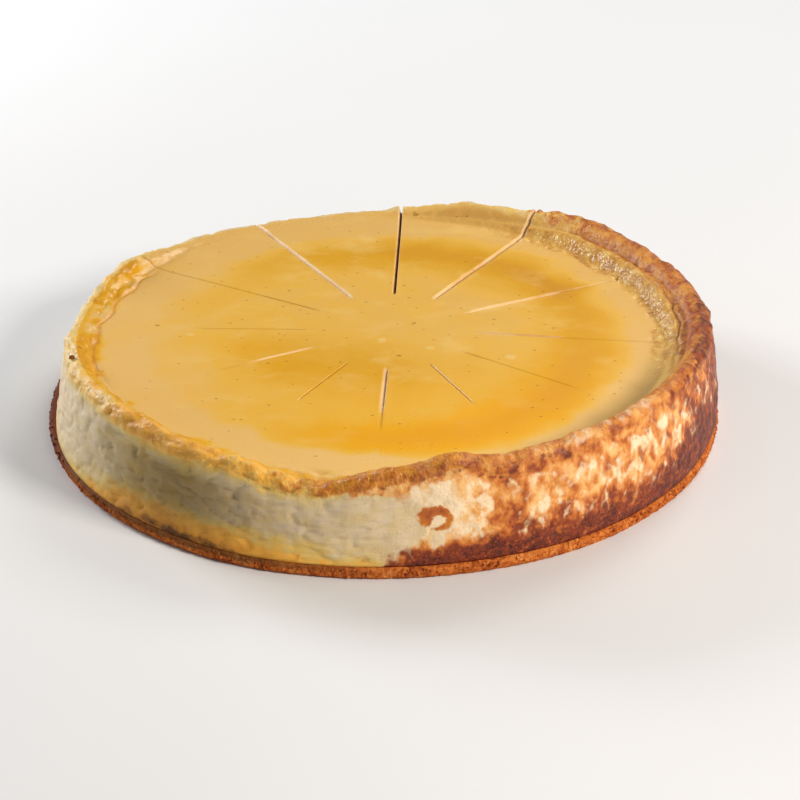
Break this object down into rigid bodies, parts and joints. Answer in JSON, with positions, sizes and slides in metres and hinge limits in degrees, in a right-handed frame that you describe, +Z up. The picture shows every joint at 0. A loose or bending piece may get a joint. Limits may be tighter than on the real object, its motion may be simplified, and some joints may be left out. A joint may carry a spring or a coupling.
{
  "type": "baked cheesecake",
  "caption": "Whole round baked cheesecake: smooth golden custard top with radial portion cuts inside a raised, browned rim, on a thin biscuit base.",
  "frame": {"origin": "middle of the biscuit base's underside, on the surface that the cake stands on", "axes": "+Z up, -Y towards the viewer who sees the pale side on the left and the browned side on the right, +X to that viewer's right"},
  "size_m": [0.2566, 0.2572, 0.0429],
  "materials": {
    "baked_custard": "satin baked custard, browned on the rim and side",
    "biscuit": "dry, crumbly baked biscuit"
  },
  "bodies": {
    "root": {"custard_filling": "baked_custard", "biscuit_base": "biscuit"}
  },
  "joints": []
}
